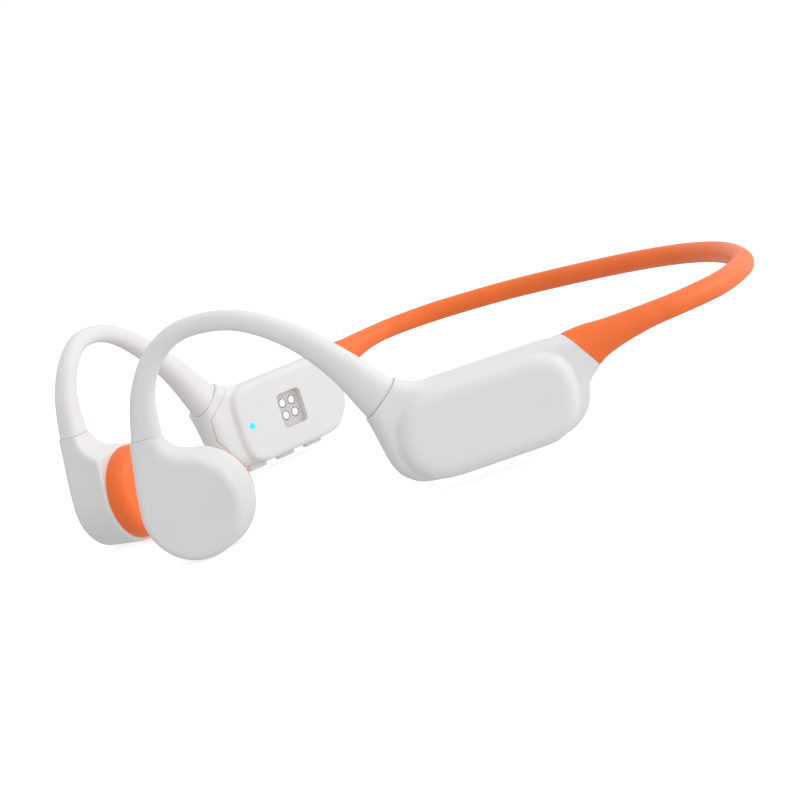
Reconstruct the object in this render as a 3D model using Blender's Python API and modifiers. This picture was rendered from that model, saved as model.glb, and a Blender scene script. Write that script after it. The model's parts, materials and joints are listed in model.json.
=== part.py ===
"""Bone conduction headphones: two ear pieces on one springy neckband.

Frame: +X points from the ear hooks back to the neckband, +Y to the wearer's
right, +Z up.  The origin is under the middle of the bounding box, at the level
that the transducer pods stand on.  Lengths below are in millimetres.
"""
import math

import bmesh
import bpy
from mathutils import Matrix, Vector

MM = 0.001
GAP = 0.3                      # clearance between neighbouring pieces
CENTRE_X = 70.57               # from the hook's front seam to the middle of the object
BASE_Z = 0.6                   # raises the pods' lowest points to the ground

# Housing: a stadium-shaped pillow on each side, along an axis that splays outwards
HOUSING_SPLAY = math.radians(16.0)
HOUSING_AT = (48.6, 52.6, 0.0)
HOUSING_FRONT = -0.5           # centre of the pillow's front arc, along the housing axis
HOUSING_REAR = 20.6            # centre of its rear arc
HOUSING_MID = 11.2             # height of both centres
HOUSING_RADIUS = 9.9
OUTER_BULGE = 5.9              # from the middle plane to the outer face
INNER_BULGE = 4.6              # from the middle plane to the inner face
WIDEST = 2.5                   # the depth where the pillow is longest
REAR_LEAN = 0.83               # how fast the rear end falls back towards the inner face
REAR_LEAN_LIMIT = 3.1
PARTING = 1.2                  # the plane where the two shells meet
WALL = 1.2

HOOK_SEAM_TILT = math.radians(51.0)    # lean of the seam to the ear hook
BAND_SEAM_TILT = math.radians(-33.0)   # lean of the seam to the neckband
HOOK_SEAM_AT = (-9.7, 0.0, 20.2)       # middle of each seam, in the housing's axes
BAND_SEAM_AT = (31.0, 0.0, 17.0)

# The pillow's rounded rim: how far each level is inset, and its share of the bulge
PILLOW_RIM = ((0.0, 0.0), (0.35, 0.38), (1.1, 0.66), (2.3, 0.86), (4.0, 0.97), (5.6, 1.0))

# Each oval of a neck: along, up, tilt, half height, half thickness
FRONT_NECK = (
    (-9.45, 20.0, HOOK_SEAM_TILT, 4.6, 3.4),
    (-6.85, 16.85, HOOK_SEAM_TILT, 6.9, 3.9),
    (-3.6, 11.6, HOOK_SEAM_TILT, 9.0, 4.1),
    (-1.2, 9.0, HOOK_SEAM_TILT, 9.3, 4.1),
    (1.5, 8.3, HOOK_SEAM_TILT, 9.8, 3.9),
)
REAR_NECK = (
    (30.5, 16.9, BAND_SEAM_TILT, 5.0, 3.15),
    (26.2, 15.0, BAND_SEAM_TILT, 7.0, 3.6),
    (21.5, 12.6, BAND_SEAM_TILT, 8.0, 3.9),
)
OVAL_SIDES = 18

# Transducer pod: a round cup with a neck, turned towards the cheekbone
POD_TURN = math.radians(37.0)
POD_AT = (6.0, 25.0, 10.25)
POD_RADIUS = 10.85
POD_OUTER = 5.8
POD_INNER = -4.2
NECK_TOP = 15.45               # seam to the hook, above the pod's centre
NECK_CENTRE = -4.7
NECK_HALF = 2.85
CUP_RIM = ((0.0, POD_INNER), (0.25, 2.4), (0.6, 4.2), (1.4, 5.3), (2.6, POD_OUTER))
PAD_RADIUS = 10.3
PAD_THICK = 3.7
PAD_RIM = 1.6                  # how wide the pad's rim is where it meets the cup
PAD_SKIN = 1.2                 # how thick the pad is in front of its hollow
CUP_CAVITY = 9.4

# The transducer's turned pieces, as (radius, depth) pairs about the pod's axis
YOKE = ((1.0, 4.0), (7.9, 4.0), (7.9, 0.2), (7.2, 0.2), (7.2, 3.2), (1.0, 3.2))
MAGNET = ((0.0, 2.9), (5.6, 2.9), (5.6, 0.4), (0.0, 0.4))
VOICE_COIL = ((6.2, 2.2), (6.8, 2.2), (6.8, -0.6), (6.2, -0.6))
VIBRATION_PLATE = ((1.5, -1.0), (9.0, -1.0), (9.0, -1.4), (1.5, -1.4))

# Charging port, status light and buttons, on the right housing only
PORT_CENTRE = (10.9, 11.3)
PORT_SIZE = (7.4, 8.4)
PIN_PITCH = (2.9, 3.05)
PIN_RADIUS = 1.0
PIN_RISE = 0.15                # the contacts sit this far above the port's middle
TRAY_FACE = -3.3
LED_AT = (-1.9, 11.0)
LED_RADIUS = 0.8
BUTTON_CENTRES = {"button_power": -1.5, "button_volume_down": 7.35, "button_volume_up": 16.2}
BUTTON_LENGTH = 5.6
BUTTON_WIDTH = 1.9
BUTTON_ACROSS = -0.85
BUTTON_BOTTOM = 0.35
BUTTON_TOP = 3.2
BUTTON_EDGE = 0.45             # rounding of a button's lower edge
SWITCH_HEIGHT = 4.95
SEAL_HEIGHT = 4.05
BUTTON_BOARD_HEIGHT = 5.95

# Boards, cell and magnet: centre and size along, across and up
PORT_MAGNET = ((10.9, -1.2, 7.4), (6.0, 1.2, 1.9))
MAIN_BOARD = ((9.5, 2.6, 11.4), (30.0, 0.8, 10.6))
RADIO_CHIP = ((16.0, 1.55, 12.0), (5.0, 0.7, 5.0))
MICROPHONE = ((-3.2, 1.55, 9.0), (2.8, 0.7, 3.6))
BATTERY = ((8.0, 0.5, 11.2), (25.0, 5.6, 12.4))
GUARD_BOARD = ((23.2, 0.5, 11.2), (0.8, 4.4, 10.0))

# Neckband: a silicone sleeve over a springy wire, with the lead between the sides
BORE = 1.25
CORE_RADIUS = 0.45
LEAD_RADIUS = 0.4
CORE_OFFSET = 0.55
FLEX_POINT = 7                 # the neckband control point where it flexes
DOME = (0.35, 0.62, 0.85)      # the angles of the rings of a domed sleeve end

# Each control point: x, y, z, half width across, half height
HOOK = [
    (0.33, 24.73, 26.0, 2.80, 2.90),
    (1.9, 26.3, 34.1, 2.20, 2.20),
    (5.5, 28.7, 40.6, 2.05, 2.05),
    (11.2, 33.4, 44.2, 1.95, 1.95),
    (19.5, 39.9, 43.1, 2.00, 2.05),
    (27.5, 45.0, 37.2, 2.25, 2.40),
    (34.2, 47.9, 29.0, 2.75, 3.10),
    (39.3, 49.93, 20.3, 3.40, 4.60),
]
BAND = [
    (78.3, 61.2, 16.9, 3.15, 4.95),
    (82.6, 63.0, 17.8, 2.75, 3.60),
    (87.0, 64.8, 18.5, 2.45, 2.90),
    (92.5, 66.5, 19.1, 2.30, 2.45),
    (99.0, 67.1, 19.4, 2.25, 2.35),
    (109.5, 64.9, 19.6, 2.25, 2.40),
    (120.5, 57.0, 19.7, 2.25, 2.40),
    (129.6, 46.0, 19.7, 2.25, 2.40),
    (140.1, 22.8, 19.7, 2.25, 2.40),
    (143.8, 0.0, 19.7, 2.25, 2.40),
]

# Colour, roughness and metallic value
MATERIALS = {
    "white_shell": ((0.80, 0.79, 0.78), 0.42, 0.0),
    "white_overmould": ((0.80, 0.79, 0.78), 0.48, 0.0),
    "white_button": ((0.72, 0.71, 0.70), 0.45, 0.0),
    "orange_silicone": ((0.95, 0.16, 0.03), 0.50, 0.0),
    "port_plastic": ((0.70, 0.69, 0.68), 0.45, 0.0),
    "contact_metal": ((0.90, 0.86, 0.78), 0.25, 1.0),
    "light_pipe": ((0.05, 0.90, 0.90), 0.20, 0.0),
    "spring_metal": ((0.55, 0.55, 0.57), 0.30, 1.0),
    "lead_jacket": ((0.08, 0.08, 0.09), 0.55, 0.0),
    "circuit_board": ((0.03, 0.20, 0.10), 0.50, 0.0),
    "chip": ((0.03, 0.03, 0.03), 0.40, 0.0),
    "cell_foil": ((0.60, 0.61, 0.63), 0.35, 1.0),
    "magnet_nickel": ((0.66, 0.66, 0.68), 0.25, 1.0),
    "coil_copper": ((0.80, 0.38, 0.20), 0.35, 1.0),
}

RINGS_PER_SPAN = 3
SIDES = 12
TURNED_SIDES = 24
WIRE_RESOLUTION = 2
SMOOTH_BELOW = math.radians(35.0)
MERGE = 0.00001                # metres

SIDE_SIGNS = {"right": 1.0, "left": -1.0}
ACROSS_MIRROR = Matrix.Scale(-1.0, 4, (0.0, 1.0, 0.0))


def clear_scene():
    """Removes whatever the file already holds."""
    for obj in list(bpy.data.objects):
        bpy.data.objects.remove(obj, do_unlink=True)


def collection(name):
    """A collection of that name, linked to the scene."""
    group = bpy.data.collections.new(name)
    bpy.context.scene.collection.children.link(group)
    return group


def material(name):
    """A Principled material with the piece's colour, roughness and metallic value."""
    made = bpy.data.materials.get(name)
    if made:
        return made
    colour, roughness, metallic = MATERIALS[name]
    made = bpy.data.materials.new(name)
    made.use_nodes = True
    shader = made.node_tree.nodes["Principled BSDF"]
    shader.inputs["Base Color"].default_value = (*colour, 1.0)
    shader.inputs["Roughness"].default_value = roughness
    shader.inputs["Metallic"].default_value = metallic
    return made


def in_metres(matrix):
    """A place given in millimetres on the pods' level, in the object's own frame."""
    moved = Matrix.Translation((-CENTRE_X, 0.0, BASE_Z)) @ matrix
    moved.translation *= MM
    return moved


def add_object(name, mesh_data, group, matrix=None, material_name=None):
    """Puts a bmesh, made in millimetres, into the scene as an object in metres."""
    bmesh.ops.recalc_face_normals(mesh_data, faces=mesh_data.faces)
    mesh = bpy.data.meshes.new(name)
    mesh_data.to_mesh(mesh)
    mesh_data.free()
    mesh.transform(Matrix.Scale(MM, 4))
    obj = bpy.data.objects.new(name, mesh)
    obj.matrix_world = in_metres(matrix or Matrix())
    group.objects.link(obj)
    return finish(obj, material_name)


def finish(obj, material_name=None):
    """Gives a mesh object its material, and smooth shading between its sharp edges."""
    obj.data.materials.clear()
    if material_name:
        obj.data.materials.append(material(material_name))
    obj.data.shade_smooth()
    obj.data.set_sharp_from_angle(angle=SMOOTH_BELOW)
    return obj


def bake(obj):
    """Applies the object's modifiers to its mesh."""
    bpy.context.view_layer.update()
    evaluated = obj.evaluated_get(bpy.context.evaluated_depsgraph_get())
    mesh = bpy.data.meshes.new_from_object(evaluated)
    obj.modifiers.clear()
    obj.data = mesh
    return obj


def boolean(obj, other, operation="DIFFERENCE"):
    """Cuts or joins obj with other, which leaves the scene."""
    step = obj.modifiers.new(operation.lower(), "BOOLEAN")
    step.operation = operation
    step.object = other
    bake(obj)
    bpy.data.objects.remove(other, do_unlink=True)
    return obj


def mirrored(obj, name, group):
    """The left-hand copy of a right-hand piece."""
    mesh = obj.data.copy()
    mesh.transform(ACROSS_MIRROR)
    mesh.flip_normals()
    copy = bpy.data.objects.new(name, mesh)
    copy.matrix_world = ACROSS_MIRROR @ obj.matrix_world @ ACROSS_MIRROR
    group.objects.link(copy)
    return copy


def move_origin(obj, place):
    """Moves an object's origin to a place in its own axes, without moving the object."""
    obj.data.transform(Matrix.Translation(-place * MM))
    obj.matrix_world = obj.matrix_world @ Matrix.Translation(place * MM)
    return obj


def joint_empty(name, place, group):
    """An empty on a joint's axis, for the pieces that move with the joint."""
    empty = bpy.data.objects.new(name, None)
    empty.empty_display_size = 0.01
    empty.matrix_world = in_metres(Matrix.Translation(place))
    group.objects.link(empty)
    return empty


def carry(empty, pieces):
    """Hangs pieces on an empty where they already are."""
    for piece in pieces:
        piece.parent = empty
        piece.matrix_parent_inverse = empty.matrix_world.inverted()


def frame(at, turn):
    """A side's own axes: along, outwards and up, turned about the vertical."""
    return Matrix.Translation(at) @ Matrix.Rotation(turn, 4, "Z")


HOUSING = frame(HOUSING_AT, HOUSING_SPLAY)
POD = frame(POD_AT, POD_TURN)


def curve_through(points, per_span=RINGS_PER_SPAN):
    """Samples a Catmull-Rom curve through control points of any dimension."""
    ends = [[2 * a - b for a, b in zip(points[0], points[1])]]
    tail = [[2 * a - b for a, b in zip(points[-1], points[-2])]]
    padded = ends + [list(p) for p in points] + tail
    samples = []
    for i in range(1, len(padded) - 2):
        for step in range(per_span):
            t = step / per_span
            weights = (
                (-t + 2 * t * t - t ** 3) / 2,
                (2 - 5 * t * t + 3 * t ** 3) / 2,
                (t + 4 * t * t - 3 * t ** 3) / 2,
                (t ** 3 - t * t) / 2,
            )
            near = padded[i - 1:i + 3]
            samples.append([sum(w * p[k] for w, p in zip(weights, near))
                            for k in range(len(points[0]))])
    samples.append(list(points[-1]))
    return samples


def tangents(samples, first=None, final=None):
    """Unit direction of travel at each sample; a seam fixes it at an end."""
    places = [Vector(s[:3]) for s in samples]
    last = len(places) - 1
    ways = [(places[min(i + 1, last)] - places[max(i - 1, 0)]).normalized()
            for i in range(len(places))]
    if first:
        ways[0] = first
    if final:
        ways[-1] = final
    return ways


def level(along):
    """The horizontal direction across a route."""
    return along.cross(Vector((0.0, 0.0, 1.0))).normalized()


def section(sample, along, across, radius=None):
    """An elliptical ring across the route, or a round one of a given radius."""
    first = (across - across.dot(along) * along).normalized() if across else level(along)
    second = along.cross(first)
    half_across = radius or sample[3]
    half_up = radius or sample[4]
    centre = Vector(sample[:3])
    ring = []
    for i in range(SIDES):
        angle = 2 * math.pi * (i + 0.5) / SIDES
        ring.append(centre + first * half_across * math.cos(angle)
                    + second * half_up * math.sin(angle))
    return ring


def bridge(mesh_data, rings, cap=True):
    """Lofts quads between rings of equal count; returns the first and last ring."""
    levels = [[mesh_data.verts.new(p) for p in ring] for ring in rings]
    for low, high in zip(levels, levels[1:]):
        for i in range(len(low)):
            j = (i + 1) % len(low)
            mesh_data.faces.new((low[i], low[j], high[j], high[i]))
    if cap:
        mesh_data.faces.new(list(reversed(levels[0])))
        mesh_data.faces.new(levels[-1])
    return levels[0], levels[-1]


def loft(name, rings, group, matrix=None, material_name=None):
    """A closed solid through rings of equal count."""
    mesh_data = bmesh.new()
    bridge(mesh_data, rings)
    return add_object(name, mesh_data, group, matrix, material_name)


def rounded_ends(samples, start, end):
    """Domes the chosen ends of a route, so that two ends can turn about their gap."""
    along = tangents(samples)
    out = [list(s) for s in samples]
    if end:
        tip, way = samples[-1], along[-1]
        for a in DOME:
            place = Vector(tip[:3]) + way * tip[3] * math.sin(a)
            out.append([*place, tip[3] * math.cos(a), tip[4] * math.cos(a)])
    if start:
        tip, way = samples[0], -along[0]
        for a in DOME:
            place = Vector(tip[:3]) + way * tip[3] * math.sin(a)
            out.insert(0, [*place, tip[3] * math.cos(a), tip[4] * math.cos(a)])
    return out


def hollow_route(name, samples, across, group, material_name, first=None, final=None):
    """A sleeve of varying elliptical section with a round bore right through it."""
    along = tangents(samples, first, final)
    outer = [section(s, t, across) for s, t in zip(samples, along)]
    inner = [section(s, t, across, BORE) for s, t in zip(samples, along)]
    mesh_data = bmesh.new()
    out_first, out_last = bridge(mesh_data, outer, cap=False)
    in_first, in_last = bridge(mesh_data, inner, cap=False)
    for outside, inside in ((out_first, in_first), (out_last, in_last)):
        for i in range(SIDES):
            j = (i + 1) % SIDES
            mesh_data.faces.new((outside[i], outside[j], inside[j], inside[i]))
    return add_object(name, mesh_data, group, material_name=material_name)


def beside(samples, across, offset):
    """The places beside a route's middle line, at an offset across it."""
    places = []
    for sample, along in zip(samples, tangents(samples)):
        way = (across - across.dot(along) * along).normalized() if across else level(along)
        places.append(Vector(sample[:3]) + way * offset)
    return places


def wire(name, places, radius, group, material_name, sign=1.0):
    """A round wire along a route: a bevelled curve with filled caps."""
    curve = bpy.data.curves.new(name, "CURVE")
    curve.dimensions = "3D"
    curve.bevel_depth = radius * MM
    curve.bevel_resolution = WIRE_RESOLUTION
    curve.use_fill_caps = True
    spline = curve.splines.new("POLY")
    spline.points.add(len(places) - 1)
    for point, place in zip(spline.points, places):
        point.co = (place.x * MM, place.y * sign * MM, place.z * MM, 1.0)
    spline.use_smooth = True
    curve.materials.append(material(material_name))
    obj = bpy.data.objects.new(name, curve)
    obj.matrix_world = in_metres(Matrix())
    group.objects.link(obj)
    return obj


def stadium(front, rear, mid, radius, across, arc=8):
    """A ring of two half circles joined by straight runs, at one depth."""
    ring = []
    for centre, start in ((rear, -math.pi / 2), (front, math.pi / 2)):
        for i in range(arc + 1):
            angle = start + math.pi * i / arc
            ring.append(Vector((centre + radius * math.cos(angle), across,
                                mid + radius * math.sin(angle))))
    return ring


def pillow(name, inset, group):
    """The housing's pillow, smaller all round by inset."""
    levels = [(take, -share * (INNER_BULGE - inset)) for take, share in reversed(PILLOW_RIM)]
    levels += [(take, WIDEST + share * (OUTER_BULGE - WIDEST - inset))
               for take, share in PILLOW_RIM]
    rings = []
    for take, depth in levels:
        lean = min(max(REAR_LEAN * (WIDEST - depth), 0.0), REAR_LEAN_LIMIT)
        rings.append(stadium(HOUSING_FRONT, HOUSING_REAR - lean, HOUSING_MID,
                             HOUSING_RADIUS - inset - take, depth))
    return loft(name, rings, group, HOUSING)


def neck(name, stations, group):
    """A neck through ovals of different sizes and tilts."""
    rings = []
    for along, up, tilt, half_up, half_across in stations:
        ring = []
        for i in range(OVAL_SIDES):
            angle = 2 * math.pi * (i + 0.5) / OVAL_SIDES
            reach = half_up * math.cos(angle)
            ring.append(Vector((along + reach * math.sin(tilt),
                                half_across * math.sin(angle),
                                up + reach * math.cos(tilt))))
        rings.append(ring)
    return loft(name, rings, group, HOUSING)


def edges_along(mesh_data, axis):
    """The edges that run along one axis (0, 1 or 2)."""
    return [e for e in mesh_data.edges
            if abs((e.verts[0].co - e.verts[1].co).normalized()[axis]) > 0.9]


def box(name, centre, size, group, material_name=None, round_by=0.0):
    """A block in the housing's axes, its edges along the depth rounded if asked."""
    mesh_data = bmesh.new()
    bmesh.ops.create_cube(mesh_data, size=1.0)
    bmesh.ops.scale(mesh_data, vec=size, verts=mesh_data.verts)
    if round_by:
        bmesh.ops.bevel(mesh_data, geom=edges_along(mesh_data, 1), offset=round_by,
                        segments=4, profile=0.5, affect="EDGES")
    return add_object(name, mesh_data, group, HOUSING @ Matrix.Translation(centre),
                      material_name)


def pill(name, along, grow, bottom, top, group, material_name=None, edge=0.0):
    """An upright pill-shaped post in the housing's axes, with a rounded lower edge."""
    width = BUTTON_WIDTH + grow
    size = Vector((BUTTON_LENGTH + grow, width, top - bottom))
    mesh_data = bmesh.new()
    bmesh.ops.create_cube(mesh_data, size=1.0)
    bmesh.ops.scale(mesh_data, vec=size, verts=mesh_data.verts)
    bmesh.ops.bevel(mesh_data, geom=edges_along(mesh_data, 2), offset=0.49 * width,
                    segments=6, profile=0.5, affect="EDGES")
    if edge:
        lowest = -size.z / 2
        rim = [e for e in mesh_data.edges
               if all(abs(v.co.z - lowest) < edge / 2 for v in e.verts)]
        bmesh.ops.bevel(mesh_data, geom=rim, offset=edge, segments=2, profile=0.5,
                        affect="EDGES")
    middle = Matrix.Translation((along, BUTTON_ACROSS, (bottom + top) / 2))
    return add_object(name, mesh_data, group, HOUSING @ middle, material_name)


def cylinder(name, centre, radius, depth, group, axis="Y", material_name=None, sides=20):
    """A round bar in the housing's axes, along its depth (Y) or upright (Z)."""
    mesh_data = bmesh.new()
    bmesh.ops.create_cone(mesh_data, cap_ends=True, segments=sides, radius1=radius,
                          radius2=radius, depth=depth)
    turn = Matrix.Rotation(math.pi / 2, 4, "X") if axis == "Y" else Matrix()
    return add_object(name, mesh_data, group, HOUSING @ Matrix.Translation(centre) @ turn,
                      material_name)


def duct(start, end, group):
    """A round cutter between two places, as wide as the bore for the wire and lead."""
    way = end - start
    mesh_data = bmesh.new()
    bmesh.ops.create_cone(mesh_data, cap_ends=True, segments=SIDES, radius1=BORE,
                          radius2=BORE, depth=way.length)
    turn = way.to_track_quat("Z", "Y").to_matrix().to_4x4()
    return add_object("duct", mesh_data, group, Matrix.Translation((start + end) / 2) @ turn)


def turned(name, profile, group, sign=1.0, material_name=None):
    """A solid turned about a pod's axis from (radius, depth) pairs, outer side last."""
    closed = profile[0][0] > 0.0
    count = len(profile)
    edges = [(i, (i + 1) % count) for i in range(count if closed else count - 1)]
    mesh = bpy.data.meshes.new(name)
    mesh.from_pydata([(radius * MM, 0.0, depth * MM) for radius, depth in profile], edges, [])
    obj = bpy.data.objects.new(name, mesh)
    group.objects.link(obj)
    screw = obj.modifiers.new("turn", "SCREW")
    screw.steps = TURNED_SIDES
    screw.render_steps = TURNED_SIDES
    screw.use_merge_vertices = True
    screw.merge_threshold = MERGE
    at = (POD_AT[0], sign * POD_AT[1], POD_AT[2])
    outwards = Matrix.Rotation(-sign * math.pi / 2, 4, "X")
    obj.matrix_world = in_metres(frame(at, sign * POD_TURN) @ outwards)
    return finish(bake(obj), material_name)


def housing_shells(parts, cutters):
    """The right housing's two shells, hollow, with a neck at each end."""
    seam_front = HOUSING @ Vector(HOOK_SEAM_AT)
    seam_rear = HOUSING @ Vector(BAND_SEAM_AT)
    shells = []
    for piece, low, high in (("outer_shell", PARTING + GAP / 2, 20.0),
                             ("inner_shell", -20.0, PARTING - GAP / 2)):
        form = pillow(f"right_{piece}", 0.0, parts)
        for stations in (FRONT_NECK, REAR_NECK):
            boolean(form, neck("neck", stations, cutters), "UNION")
        boolean(form, pillow("cavity", WALL, cutters))
        boolean(form, duct(seam_front + Vector((-3.0, -0.9, 4.0)),
                           HOUSING @ Vector((-1.0, 0.0, 11.0)), cutters))
        boolean(form, duct(seam_rear + Vector((6.0, 1.6, 1.2)),
                           HOUSING @ Vector((22.0, 0.0, 13.0)), cutters))
        half = box("half", (10.0, (low + high) / 2, 11.0), (80.0, high - low, 60.0), cutters)
        boolean(form, half, "INTERSECT")
        shells.append(finish(form, "white_shell"))
    return shells


def cut_right_features(inner, cutters):
    """Port, light and button openings in the right inner shell."""
    boolean(inner, box("port", (PORT_CENTRE[0], -4.6, PORT_CENTRE[1]),
                       (PORT_SIZE[0], 3.0, PORT_SIZE[1]), cutters, round_by=1.3))
    boolean(inner, cylinder("light_hole", (LED_AT[0], -4.6, LED_AT[1]),
                            LED_RADIUS + GAP, 3.0, cutters))
    for centre in BUTTON_CENTRES.values():
        boolean(inner, pill("slot", centre, 2 * GAP, -1.0, 4.0, cutters))
    return finish(inner, "white_shell")


def charging_port(parts, cutters):
    """The port's tray with its four contacts, and the magnet behind it."""
    tray = box("charging_tray", (PORT_CENTRE[0], TRAY_FACE + 0.5, PORT_CENTRE[1]),
               (PORT_SIZE[0] + 1.0, 1.0, PORT_SIZE[1] + 1.0), parts, round_by=1.0)
    pins = []
    for row in (0.5, -0.5):
        for column in (-0.5, 0.5):
            along = PORT_CENTRE[0] + column * PIN_PITCH[0]
            up = PORT_CENTRE[1] + PIN_RISE + row * PIN_PITCH[1]
            boolean(tray, cylinder("pin_hole", (along, TRAY_FACE, up), PIN_RADIUS + 0.2,
                                   4.0, cutters))
            pins.append(cylinder(f"charging_pin_{len(pins) + 1}",
                                 (along, TRAY_FACE + 0.75, up), PIN_RADIUS, 1.7, parts,
                                 material_name="contact_metal", sides=16))
    finish(tray, "port_plastic")
    magnet = box("charging_magnet", *PORT_MAGNET, parts, "magnet_nickel")
    return [tray, magnet] + pins


def buttons(parts):
    """The three keys, each with its origin on the line it slides along."""
    keys = []
    for name, centre in BUTTON_CENTRES.items():
        key = pill(name, centre, 0.0, BUTTON_BOTTOM, BUTTON_TOP, parts, "white_button",
                   BUTTON_EDGE)
        keys.append(move_origin(key, Vector((0.0, 0.0, (BUTTON_BOTTOM - BUTTON_TOP) / 2))))
    return keys


def right_electronics(parts):
    """What the right housing holds: light, switches, seal and boards."""
    row = list(BUTTON_CENTRES.values())
    span = row[-1] - row[0]
    middle = (row[0] + row[-1]) / 2
    made = [
        cylinder("status_light_pipe", (LED_AT[0], -3.2, LED_AT[1]), LED_RADIUS, 2.6, parts,
                 material_name="light_pipe", sides=16),
        box("button_seal", (middle, BUTTON_ACROSS, SEAL_HEIGHT), (span + 3.6, 2.2, 0.4),
            parts, "lead_jacket"),
        box("button_board", (middle, BUTTON_ACROSS, BUTTON_BOARD_HEIGHT),
            (span + 5.0, 3.0, 0.6), parts, "circuit_board"),
        box("main_board", *MAIN_BOARD, parts, "circuit_board", 1.5),
        box("radio_chip", *RADIO_CHIP, parts, "chip"),
        box("microphone", *MICROPHONE, parts, "spring_metal"),
    ]
    for name, centre in BUTTON_CENTRES.items():
        made.append(cylinder(name.replace("button_", "switch_"),
                             (centre, BUTTON_ACROSS, SWITCH_HEIGHT), 1.2, 0.8, parts,
                             axis="Z", material_name="spring_metal", sides=16))
    return made


def left_electronics(parts, cutters):
    """The cell and its guard board, made on the right and mirrored to the left."""
    made = []
    for source, name in (
            (box("cell", *BATTERY, cutters, "cell_foil", 1.2), "battery"),
            (box("guard", *GUARD_BOARD, cutters, "circuit_board"), "battery_guard_board")):
        made.append(mirrored(source, name, parts))
        bpy.data.objects.remove(source, do_unlink=True)
    return made


def teardrop(inset, depth):
    """The pod's outline at one depth: a disc with a tangent neck up to the hook."""
    radius = POD_RADIUS - inset
    outline = []
    steps = 26
    start, stop = math.radians(-190), math.radians(74)
    for i in range(steps + 1):
        angle = start + (stop - start) * i / steps
        outline.append((radius * math.cos(angle), radius * math.sin(angle)))
    neck_side = [(0.6, 10.95), (-0.9, 11.9), (-1.75, 13.6), (-1.85, NECK_TOP)]
    outline += [(x - inset * 0.7, z - inset * 0.5 * (z < NECK_TOP)) for x, z in neck_side]
    outline += [(NECK_CENTRE - NECK_HALF + inset, NECK_TOP),
                (-9.1 + inset, 8.6)]
    return [Vector((x, depth, z)) for x, z in outline]


def pod_cup(parts, cutters):
    """The right cup, open towards the cheek, with its neck cut back to the hook's depth."""
    cup = loft("right_pod_cup", [teardrop(take, depth) for take, depth in CUP_RIM], parts, POD)
    hollow = ((-9.0, 9.9), (-9.0, 20.0), (0.4, 20.0), (0.4, 15.0), (-4.3, 9.9))
    boolean(cup, loft("neck_cut", [[Vector((along, y, z)) for y, z in hollow]
                                   for along in (-15.0, 8.0)], cutters, POD))
    boolean(cup, turned("cup_cavity", ((0.0, 4.5), (CUP_CAVITY - 0.8, 4.5),
                                       (CUP_CAVITY, 3.6), (CUP_CAVITY, -8.0), (0.0, -8.0)),
                        cutters))
    boolean(cup, duct(Vector(HOOK[0][:3]) + Vector((0.3, 0.3, 2.0)),
                      POD @ Vector((-4.9, 2.4, 6.0)), cutters))
    return finish(cup, "white_overmould")


def pad_profile():
    """A soft cap with a rounded edge and a flat face, hollow towards the cup."""
    face = POD_INNER - GAP
    front = face - PAD_THICK
    hollow = PAD_RADIUS - PAD_RIM
    return ((0.0, front + PAD_SKIN), (hollow, front + PAD_SKIN), (hollow, face),
            (PAD_RADIUS, face), (PAD_RADIUS, face - PAD_THICK * 0.55),
            (PAD_RADIUS - 0.5, face - PAD_THICK * 0.82),
            (PAD_RADIUS - 1.3, face - PAD_THICK * 0.97), (PAD_RADIUS - 2.2, front),
            (0.0, front))


def pod_pieces(side, parts):
    """The pad and the transducer of one pod, all turned about its axis."""
    sign = SIDE_SIGNS[side]
    return [
        turned(f"{side}_ear_pad", pad_profile(), parts, sign, "orange_silicone"),
        turned(f"{side}_transducer_yoke", YOKE, parts, sign, "spring_metal"),
        turned(f"{side}_transducer_magnet", MAGNET, parts, sign, "magnet_nickel"),
        turned(f"{side}_voice_coil", VOICE_COIL, parts, sign, "coil_copper"),
        turned(f"{side}_vibration_plate", VIBRATION_PLATE, parts, sign, "spring_metal"),
    ]


def seam_way(tilt):
    """The direction square to a housing seam that leans by tilt."""
    return HOUSING.to_3x3() @ Vector((math.cos(tilt), 0.0, -math.sin(tilt)))


def hook_across():
    """The level direction across the hook's route."""
    start, stop = Vector(HOOK[0][:3]), Vector(HOOK[-1][:3])
    return Vector((-(stop - start).y, (stop - start).x, 0.0)).normalized()


def wire_and_lead(side, kind, samples, across, offset, parts):
    """The core wire and, on the other side of the middle line, the lead."""
    sign = SIDE_SIGNS.get(side, 1.0)
    prefix = f"{side}_{kind}" if side else kind
    return [
        wire(f"{prefix}_wire", beside(samples, across, offset), CORE_RADIUS, parts,
             "spring_metal", sign),
        wire(f"{prefix}_lead", beside(samples, across, -offset), LEAD_RADIUS, parts,
             "lead_jacket", sign),
    ]


def band_routes():
    """The neckband's route on the right: the arm, and the middle up to the mirror."""
    beyond = (BAND[-2][0], -BAND[-2][1], *BAND[-2][2:])
    samples = curve_through(BAND + [beyond])[:-RINGS_PER_SPAN]
    turn = FLEX_POINT * RINGS_PER_SPAN
    return samples[:turn], samples[turn + 1:], samples[turn]


def shorten(samples, flex, reach):
    """Ends a route short of the flexing place by reach."""
    tip = Vector(samples[-1][:3])
    centre = Vector(flex[:3])
    way = (tip - centre).normalized()
    end = centre + way * reach
    return samples[:-1] + [[*end, *flex[3:]]]


def band_threads():
    """The routes of the wire and lead: the right arm's, and the middle's right half."""
    arm, half, flex = band_routes()
    reach = flex[3] * math.sin(DOME[-1]) + GAP + 0.6
    middle = list(reversed(shorten(list(reversed(half)), flex, reach)))
    return shorten(arm, flex, reach)[1:], middle


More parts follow.
